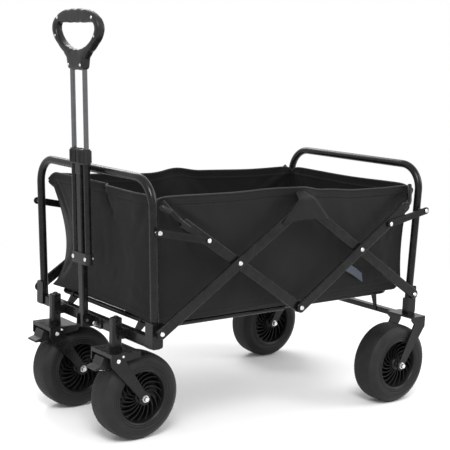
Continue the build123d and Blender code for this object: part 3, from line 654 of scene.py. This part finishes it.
HEM_TOP, HEM_BOTTOM = 0.0155, 0.0095      # seams' distance from the top and bottom edges
BINDING_OUT, BINDING_UP = 0.0026, 0.0022  # half sizes of the bound top edge
TAB_AT = (0.764, 0.20)                    # the webbing tab's middle, as shares along and up the right wall
TAB_SIZE, TAB_DROP = (0.080, 0.022), 0.042
WALL_HEIGHT = 0.26                        # a typical wall, for turning metres into shares


def crease(wall, t, v, length, height):
    """Relief of the wall's fold lines: a soft ridge beside a groove, fading along the line."""
    total = 0.0
    for (t0, v0), (t1, v1), width, depth in CREASES[wall]:
        a, b = Vector((t0 * length, v0 * height)), Vector((t1 * length, v1 * height))
        p, line = Vector((t * length, v * height)), b - a
        share = (p - a).dot(line) / line.length_squared
        if -0.1 < share < 1.1:
            off = (p - a - share * line).length
            fade = ease((share + 0.1) / 0.25) * ease((1.1 - share) / 0.6)
            total += fade * depth * (0.6 * bell(off - 1.7 * width, width) - bell(off, width))
    return total


def bag_point(wall, t, v, lift=0.0):
    """A point of the basket's cloth: t along the wall, v up it, lift off its outer face."""
    high_z, low_z = along(TOP[wall], t), along(FOOT[wall], t)
    z = low_z + (high_z - low_z) * v
    bow = {end: BOW[end] * sin(pi * v ** 0.76) for end in BOW}
    start = {end: wall_x(end, z) + (bow[end] if end == "front" else -bow[end]) for end in BOW}
    if wall in ("front", "rear"):
        half = WALL_Y - bow[wall]
        y = half * (1 - 2 * t) * (1 if wall == "front" else -1)
        near = half - abs(y)
        inward = bow[wall] * exp(-near / 0.045)
        x = wall_x(wall, z) + (inward if wall == "front" else -inward)
        span, run = 2 * half, t * 2 * half
    else:
        share = t if wall == "right" else 1 - t
        x = start["front"] + (start["rear"] - start["front"]) * share
        span = start["rear"] - start["front"]
        near, run = span * min(share, 1 - share), share * span
        y = WALL_Y - bow["front"] * exp(-(x - start["front"]) / 0.06)
        y -= bow["rear"] * exp(-(start["rear"] - x) / 0.06)
        y *= -1 if wall == "right" else 1
    z -= 0.012 * exp(-near / 0.010) * ease((v - 0.88) / 0.12)
    below, above = high_z - z, z - low_z
    free = ease(below / 0.05) * ease(near / 0.04) * ease(above / 0.03)
    out = lift + 0.0035 * sin(pi * t) * sin(pi * v)
    seed = WALLS.index(wall) * 7.3
    ripple = sum(depth * noise.noise(Vector((run * a, z * b, seed + c))) for depth, a, b, c in RIPPLES)
    out += ripple * (0.15 + 0.85 * free)
    out += crease(wall, t, v, span, high_z - low_z) * ease(near / 0.012)
    # top hem, bottom hem and corner seam
    out += 0.0011 * ease((0.0185 - below) / 0.002) - 0.0009 * bell(below - 0.0200, 0.0016)
    out += 0.0009 * ease((0.0110 - above) / 0.002) - 0.0007 * bell(above - 0.0125, 0.0016)
    out += 0.0016 * bell(near, 0.0022)
    if wall in ("left", "right"):   # drawn out to the cloth cap over the middle pivot
        out += 0.021 * bell(run - span / 2, 0.052) * ease((0.085 - below) / 0.08)
    if wall == "front":             # the turned-over flap beside the handle
        edge = -0.037 - 0.027 * ease((0.566 - z) / 0.07)
        rise = ease((z - 0.478) / 0.05)
        flap = 0.0080 * ease((edge - y) / 0.006) * ease((y + 0.215) / 0.06)
        out += rise * (flap - 0.0045 * bell(y - edge - 0.002, 0.004))
        out += 0.004 * bell(y + 0.008, 0.02) * bell(z - 0.53, 0.022)
    return Vector((x, y, z)) + NORMAL[wall] * out


def spaced(count, pull=0.75):
    """Shares from 0 to 1 that stand closer together near both ends; the last one is left out."""
    return [k / count - pull * sin(2 * pi * k / count) / (2 * pi) for k in range(count)]


HEIGHTS = ([0.0, 0.008, 0.018, 0.03, 0.038, 0.046, 0.056] + [0.056 + 0.85 * k / 40 for k in range(1, 41)]
           + [0.913, 0.920, 0.927, 0.934, 0.942, 0.955, 0.968, 0.980, 0.990, 1.0])
ROUND = [(wall, t) for wall, count in zip(WALLS, (84, 132, 72, 132)) for t in spaced(count)]


def flatten_with_fold(item):
    """Gives a piece its own copy of its mesh."""
    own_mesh(item)


def stitch_row(wall, length, seam, from_top):
    """Small flat diamonds of thread along a hem."""
    count = int(length / STITCH_STEP)
    step = STITCH_HALF / length
    up = Vector((0, 0, 0.0005))
    row = []
    for k in range(count):
        t = (k + 0.5) / count
        tall = along(TOP[wall], t) - along(FOOT[wall], t)
        v = 1 - seam / tall if from_top else seam / tall
        a, b = bag_point(wall, t - step, v, 0.0001), bag_point(wall, t + step, v, 0.0001)
        m = (a + b) / 2 + NORMAL[wall] * 0.00045
        row.append(([a, m + up, b, m - up, (a + b) / 2 - NORMAL[wall] * 0.0003],
                    [(0, 1, 3), (1, 2, 3), (0, 4, 1), (1, 4, 2), (2, 4, 3), (3, 4, 0)]))
    return row


def make_bag():
    """Four walls in one cloth with a lip at the bottom, bound top edge, stitched hems and a side tab."""
    rest = high("front_floor_frame").z + 0.0012

    def skin(i, j):
        """From the inner rim of the bottom lip, which lies on the floor tubes, out and up the walls."""
        wall, t = ROUND[j]
        if i >= LIP_ROWS:
            return bag_point(wall, t, HEIGHTS[i - LIP_ROWS])
        share = 1 - i / LIP_ROWS
        p = bag_point(wall, t, 0)
        x = MIDDLE_X + (p.x - MIDDLE_X) * (1 - LIP_X * share / (LENGTH / 2))
        y = p.y * (1 - LIP_Y * share / WALL_Y)
        return Vector((x, y, p.z + (rest - p.z) * ease(share * 2.2)))

    surface = grid(len(HEIGHTS) + LIP_ROWS, len(ROUND), skin, False, True)
    bag = add_piece("basket_bag", *surface, "basket_fabric")
    # the inner faces take the darker copy of the cloth, which is painted shade inside the basket
    bag.data.materials.append(MATERIALS["painted_shade_lining"])
    solid = bag.modifiers.new("cloth", "SOLIDIFY")
    solid.thickness, solid.offset, solid.material_offset = CLOTH, -1, 1
    apply_modifiers(bag)

    def binding(i, j):
        wall, t = ROUND[j]
        angle = 2 * pi * i / 8
        rise = Vector((0, 0, BINDING_UP * sin(angle) + 0.0004))
        return bag_point(wall, t, 1.0, -0.0005) + NORMAL[wall] * BINDING_OUT * cos(angle) + rise

    band = add_piece("basket_binding", *grid(8, len(ROUND), binding, True, True), "webbing_black")
    stitches = []
    for wall in WALLS:
        length = 2 * WALL_Y if wall in ("front", "rear") else SIDE_RUN
        stitches += stitch_row(wall, length, HEM_TOP, True) + stitch_row(wall, length, HEM_BOTTOM, False)
    thread = add_piece("basket_stitches", *merged(*stitches), "thread", smooth=False)

    def tab(i, j):
        t, v = j / 20 - 0.5, i / 8 - 0.5
        lift = 0.0016 + 0.0055 * cos(pi * t) ** 2
        return bag_point("right", TAB_AT[0] + t * TAB_SIZE[0] / LENGTH,
                         TAB_AT[1] + (v * TAB_SIZE[1] - t * TAB_DROP) / WALL_HEIGHT, lift)

    label = thicken(add_piece("basket_side_tab", *grid(9, 21, tab), "webbing"), 0.0012, 0)
    for item in (bag, band, thread, label):
        flatten_with_fold(item)
        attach(item, "front_frame")
    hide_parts("front_panel", "side_panel_left", "side_panel_right", "rear_panel")


PAD_LIFT, PAD_TOP, PAD_UNDER = 0.0030, 0.0045, 0.0028     # over the lip, and half heights
PAD_ROUND = 0.007                                          # radius of the pads' rims
CHANNEL_RIM, CHANNEL_Y, CHANNEL_W = 0.018, 0.075, 0.0035   # sewn channels of the pads
PUCKER_PITCH = 0.021
HINGE_HALF, HINGE_T = 0.212, 0.0014


def rounded_share(x):
    """Shares from -1 to 1 that stand closer together near both ends."""
    return sin(x * pi / 2 * 0.985) / sin(pi / 2 * 0.985)


def make_floor_boards():
    """Cloth-covered padded boards with a sewn channel round the edge and across the middle."""
    for end in ("front", "rear"):
        node = f"{end}_floor_board"
        a, b = low(node).copy(), high(node).copy()
        if end == "front":
            b.x = MIDDLE_X - 0.0002
        else:
            a.x = MIDDLE_X + 0.0002
        a.z += PAD_LIFT
        middle, half = (a + b) / 2, (b - a) / 2
        rows, cols = 56, 70

        def skin(i, j):
            top = i < rows
            u = rounded_share((i if top else 2 * rows - 1 - i) / (rows - 1) * 2 - 1)
            w = rounded_share(j / (cols - 1) * 2 - 1)
            rim = min(1 - abs(u), (1 - abs(w)) * half.y / half.x) * half.x
            round_it = sqrt(max(0.0, 1 - (1 - min(rim / PAD_ROUND, 1)) ** 2))
            x, y = middle.x + u * half.x, middle.y + w * half.y
            seam_z = a.z + 0.0030
            if not top:
                return Vector((x, y, seam_z - PAD_UNDER * round_it))
            lengthwise = abs(y) - CHANNEL_Y
            channel = bell(rim - CHANNEL_RIM, CHANNEL_W)
            channel += bell(lengthwise, CHANNEL_W) * ease((rim - CHANNEL_RIM) / 0.01)
            pucker = 0.5 + 0.5 * sin((x if abs(lengthwise) < 0.02 else y) * 2 * pi / PUCKER_PITCH)
            rise = 0.0048 * ease(rim / 0.05) - 0.0026 * min(channel, 1) * (0.75 + 0.25 * pucker)
            rise += 0.0012 * noise.noise(Vector((x * 22, y * 22, 3.0)))
            return Vector((x, y, seam_z + PAD_TOP * round_it + rise))

        if end == "front":   # the hinge strip under the joint between the boards
            left, right = ([Vector((b.x + dx, y, a.z - 0.0016)) for dx in (-0.012, 0.010)]
                           for y in (-HINGE_HALF, HINGE_HALF))
            strip = ribbon(left, right, lambda i: Vector((0, 0, HINGE_T)))
            soften(add_piece("floor_hinge_strip", *strip, "black_plastic", "front_floor", smooth=False), 0.0005)
        cover = grid(2 * rows, cols, skin, True, False)
        board = add_piece(f"{end}_floor_pad", *cover, "floor_fabric", f"{end}_floor")
        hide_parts(node)


POCKET_TOP_HALF, POCKET_FOOT_HALF = 0.0120, 0.0740         # half widths of the caps


def make_pockets():
    """Three-cornered cloth caps over the middle pivots, sewn along their sloping sides."""
    for side, hand in SIDES:
        node = f"bar_pocket_{hand}"
        a, b = low(node), high(node)
        middle, top, foot = (a.x + b.x) / 2, b.z, a.z
        outer = max(abs(a.y), abs(b.y)) - 0.0012
        rows, cols = 34, 48

        def skin(i, j):
            v, u = i / (rows - 1), j / (cols - 1) * 2 - 1
            slope = POCKET_TOP_HALF + (POCKET_FOOT_HALF - POCKET_TOP_HALF) * v
            x = middle + u * slope * (1 - 0.02 * ease((v - 0.8) / 0.2))
            z = top - 0.004 - v * (top - foot - 0.004) + 0.006 * (1 - u * u) * ease((v - 0.4) / 0.6)
            edge = (1 - abs(u)) * slope
            tuck = 0.004 * (1 - ease(edge / 0.010)) + 0.026 * (1 - ease(v / 0.26))
            puff = 0.0008 * noise.noise(Vector((x * 40, z * 40, side * 2.0))) - 0.0012 * bell(edge - 0.006, 0.002)
            return Vector((x, side * (outer - tuck + puff + 0.0010 * (1 - u * u)), z))

        cap = thicken(add_piece(f"bar_pocket_cloth_{hand}", *grid(rows, cols, skin), "basket_fabric"), 0.0016, -side)
        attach(cap, f"pocket_{hand}")
        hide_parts(node)


# ---- Small fittings --------------------------------------------------------------------------------------
SLEEVE = [(0.0, 0.0), (0.0066, 0.0), (0.0072, 0.003), (0.0070, 0.021), (0.0058, 0.0255), (0.0035, 0.0275),
          (0.0, 0.0280)]
LINK_END = 0.0085          # a link's bolt to the end of the link
COLLAR_RIBS, RIB_PITCH, RIB_HALF, RIB_LENGTH, RIB_RISE = 5, 0.0058, 0.0011, 0.0270, 0.0022
CROWN_STUDS = ((-0.018, 0.196, 0.0050), (-0.006, 0.205, 0.0030))    # place ahead of the stem, height, radius
RELEASE_BEND = ((0.006, 0.0005), (0.020, -0.0045), (0.034, -0.0060), (0.046, -0.0030))   # lever's profile
RELEASE_HALF, RELEASE_T = 0.007, 0.0018
PEDAL_HALF = 0.0222        # fork's middle to the pedal's pin heads


def make_bar_caps():
    """Plastic sleeves on the free ends of the upper bars, where they push into the basket's corners."""
    for end, way in (("front", -1), ("rear", 1)):
        for side, hand in SIDES:
            node = f"{end}_upper_bar_{hand}"
            a, b = low(node), high(node)
            tip = Vector((a.x if way < 0 else b.x, side * (min(abs(a.y), abs(b.y)) + 0.006), b.z - 0.013))
            back = tip + Vector((-way * 0.020, side * 0.012, -0.013))
            shape = placed(turned(SLEEVE, 28), facing(back, (tip - back).normalized()))
            add_piece(f"{end}_bar_sleeve_{hand}", *shape, "black_plastic", node)


def make_handle_fittings():
    """Rivets of the lower bracket, ribs of the collar, and the sleeve on the post under it."""
    a, b = low("handle_lower_bracket"), high("handle_lower_bracket")
    z = (a.z + b.z) / 2
    rivets = [placed(head(size, rise), facing((x, side * TUBE_Y, z), (way, 0, 0)))
              for x, way, size, rise in ((a.x + 0.0006, -1, 0.0048, 0.0024), (b.x - 0.0006, 1, 0.0042, 0.002))
              for side in (1, -1)]
    add_piece("handle_bracket_rivets", *merged(*rivets), "zinc", "handle")

    size = high("handle_collar") - low("handle_collar")
    lean = Matrix.Translation(centre("handle_collar")) @ Matrix.Rotation(handle_tilt(), 4, "Y")
    ribs = []
    for way in (-1, 1):
        for k in range(-COLLAR_RIBS, COLLAR_RIBS + 1):
            if k:
                left, right = ([Vector((way * size.x * 0.44, k * RIB_PITCH + half, h))
                                for h in (-RIB_LENGTH / 2, RIB_LENGTH / 2)] for half in (-RIB_HALF, RIB_HALF))
                ribs.append(placed(ribbon(left, right, lambda i: Vector((way * RIB_RISE, 0, 0))), lean))
    add_piece("handle_collar_ribs", *merged(*ribs), "black_plastic", "handle", smooth=False)

    outline = [(0.0088 * sx, 0.0112 * sy) for sx, sy in ((-1, -1), (1, -1), (1, 1), (-1, 1))]
    block = [Vector((x, y, h)) for h in (0, 0.024) for x, y in outline]
    faces = [(0, 1, 5, 4), (1, 2, 6, 5), (2, 3, 7, 6), (3, 0, 4, 7), (3, 2, 1, 0), (4, 5, 6, 7)]
    sleeve = placed((block, faces), lean @ Matrix.Translation((0, 0, -0.040)))
    soften(add_piece("handle_post_sleeve", *sleeve, "black_plastic", "handle"), 0.0016)


def make_caster_fittings(side, hand):
    """Stem cap, studs of the fork crown and pedal pin, and the brake's release lever."""
    stem = JOINT[f"caster_swivel_{hand}"]["pos_m"]
    top = (stem[0], stem[1], high("caster_housings").z - 0.0002)
    add_piece(f"caster_cap_{hand}", *placed(head(0.0060, 0.0040, 0.45), facing(top, (0, 0, 1))), "black_plastic",
              "front_frame")
    y = side * abs(stem[1])
    pin = JOINT[f"brake_{hand}_press"]["pos_m"]
    studs = []
    for out in (1, -1):
        wall = (high if out > 0 else low)(f"caster_fork_{hand}").y
        for dx, z, size in CROWN_STUDS:
            studs.append(placed(head(size, 0.0026), facing((stem[0] + dx, wall, z), (0, out, 0))))
        studs.append(placed(head(0.0042, 0.0022), facing((pin[0], y + out * PEDAL_HALF, pin[2]), (0, out, 0))))
    add_piece(f"caster_studs_{hand}", *merged(*studs), "zinc", f"caster_{hand}")
    heel = low(f"brake_pedal_{hand}")
    left, right = ([Vector((heel.x + dx, y + half, heel.z + dz)) for dx, dz in RELEASE_BEND]
                   for half in (-RELEASE_HALF, RELEASE_HALF))
    lever = ribbon(left, right, lambda i: Vector((0, 0, RELEASE_T)))
    soften(add_piece(f"brake_release_{hand}", *lever, "zinc", f"brake_{hand}", smooth=False), 0.0006)


def make_frame_fittings():
    """Bolt head of the handle's pivot, link rivets, and what sits on the casters."""
    pivot = JOINT["handle_tilt"]["pos_m"]
    spot = (pivot[0], low("handle_clevis").y - 0.0002, pivot[2])
    add_piece("handle_pivot_bolt_head", *placed(hexagon(0.0062, 0.0045), facing(spot, (0, -1, 0))), "zinc",
              "front_frame", smooth=False)
    for side, hand in SIDES:
        for end in ("front", "rear"):
            a, b = low(f"{end}_link_{hand}"), high(f"{end}_link_{hand}")
            x = b.x - LINK_END if end == "front" else a.x + LINK_END
            rivet = placed(head(0.0052, 0.0026), facing((x, b.y if side > 0 else a.y, a.z + LINK_END), (0, side, 0)))
            add_piece(f"{end}_link_rivet_{hand}", *rivet, "zinc", f"{end}_link_{hand}")
        make_caster_fittings(side, hand)


# ---- Build -------------------------------------------------------------------------------------------------
MATERIALS = make_materials()
SLOT = dict.fromkeys(("painted_shade_lining", "webbing", "webbing_black", "thread"), "basket_fabric")
paint_cad()
add_camera()
add_studio()
make_wheels()
make_grip()
make_bag()
make_floor_boards()
make_pockets()
make_bar_caps()
make_handle_fittings()
make_frame_fittings()
